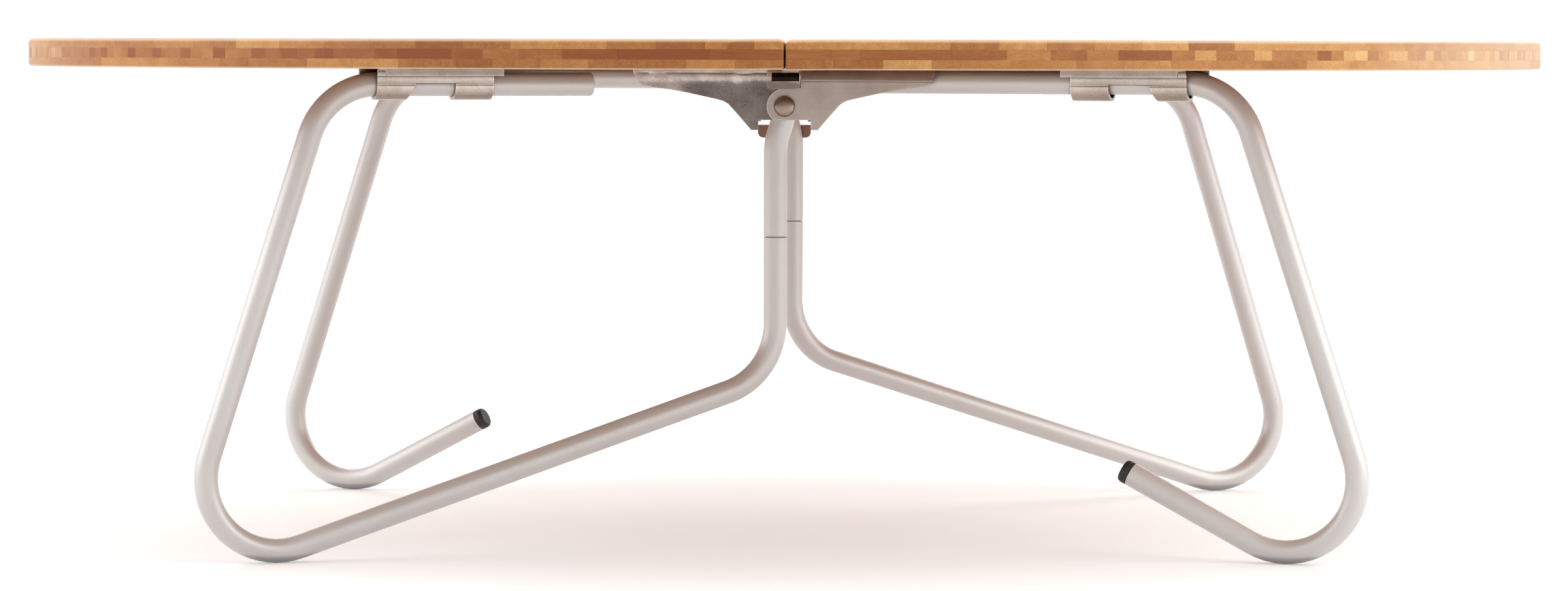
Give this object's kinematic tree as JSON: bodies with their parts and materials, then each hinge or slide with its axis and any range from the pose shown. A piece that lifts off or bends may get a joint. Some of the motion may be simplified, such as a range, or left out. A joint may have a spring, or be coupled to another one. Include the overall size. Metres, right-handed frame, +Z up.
{
  "type": "folding table",
  "caption": "Low round folding table: a split bamboo top hinged on a centre bar, carried by bent steel tube legs that fold under it.",
  "frame": {"origin": "centre of the table on the floor", "axes": "+Z up, Y along the seam between the two halves of the top, X across the seam"},
  "size_m": [0.85, 0.85, 0.276],
  "materials": {
    "bamboo": "satin lacquer over strip bamboo",
    "sand_paint": "satin champagne sand powder coat",
    "bracket_steel": "satin plated sheet",
    "nickel": "bright nickel",
    "screw_steel": "zinc plated",
    "black_plastic": "matte black",
    "brown_plastic": "matte brown"
  },
  "bodies": {
    "centre_bar": {"centre_tube": "sand_paint", "near_post": "sand_paint", "far_post": "sand_paint", "near_spigot": "screw_steel", "far_spigot": "screw_steel", "near_pivot_pin": "nickel", "far_pivot_pin": "nickel", "stop_block": "brown_plastic"},
    "left_half": {"left_top": "bamboo", "near_left_bracket": "bracket_steel", "far_left_bracket": "bracket_steel", "near_left_bracket_screw_1": "screw_steel", "near_left_bracket_screw_2": "screw_steel", "far_left_bracket_screw_1": "screw_steel", "far_left_bracket_screw_2": "screw_steel", "near_left_clip": "bracket_steel", "far_left_clip": "bracket_steel", "near_left_clip_screw": "screw_steel", "far_left_clip_screw": "screw_steel"},
    "right_half": {"right_top": "bamboo", "near_right_bracket": "bracket_steel", "far_right_bracket": "bracket_steel", "near_right_bracket_screw_1": "screw_steel", "near_right_bracket_screw_2": "screw_steel", "far_right_bracket_screw_1": "screw_steel", "far_right_bracket_screw_2": "screw_steel", "near_right_clip": "bracket_steel", "far_right_clip": "bracket_steel", "near_right_clip_screw": "screw_steel", "far_right_clip_screw": "screw_steel"},
    "near_left_loop_leg": {"near_left_leg": "sand_paint"},
    "far_right_loop_leg": {"far_right_leg": "sand_paint"},
    "near_right_hook_leg": {"near_right_leg": "sand_paint", "near_right_foot_cap": "black_plastic"},
    "far_left_hook_leg": {"far_left_leg": "sand_paint", "far_left_foot_cap": "black_plastic"}
  },
  "joints": [
    {"name": "left_fold", "type": "hinge", "parent": "centre_bar", "child": "left_half", "pos_m": [0, 0, 0.2404], "axis": [0, -1, 0], "range_deg": [0, 86.5]},
    {"name": "right_fold", "type": "hinge", "parent": "centre_bar", "child": "right_half", "pos_m": [0, 0, 0.2404], "axis": [0, 1, 0], "range_deg": [0, 86.5]},
    {"name": "near_left_leg_swing", "type": "hinge", "parent": "left_half", "child": "near_left_loop_leg", "pos_m": [-0.0048, -0.126, 0.2521], "axis": [0.9397, 0.342, 0], "range_deg": [0, 90.5]},
    {"name": "far_left_leg_swing", "type": "hinge", "parent": "left_half", "child": "far_left_hook_leg", "pos_m": [-0.0048, 0.121, 0.2536], "axis": [-0.9397, 0.342, 0], "range_deg": [0, 83.7]},
    {"name": "near_right_leg_swing", "type": "hinge", "parent": "right_half", "child": "near_right_hook_leg", "pos_m": [0.0048, -0.121, 0.2536], "axis": [0.9397, -0.342, 0], "range_deg": [0, 83.7]},
    {"name": "far_right_leg_swing", "type": "hinge", "parent": "right_half", "child": "far_right_loop_leg", "pos_m": [0.0048, 0.126, 0.2521], "axis": [-0.9397, -0.342, 0], "range_deg": [0, 90.5]}
  ],
  "couplings": [
    {"joint": "near_left_leg_swing", "follows": "left_fold", "ratio": 1.0439},
    {"joint": "far_left_leg_swing", "follows": "left_fold", "ratio": 0.9653},
    {"joint": "near_right_leg_swing", "follows": "right_fold", "ratio": 0.9653},
    {"joint": "far_right_leg_swing", "follows": "right_fold", "ratio": 1.0439}
  ]
}
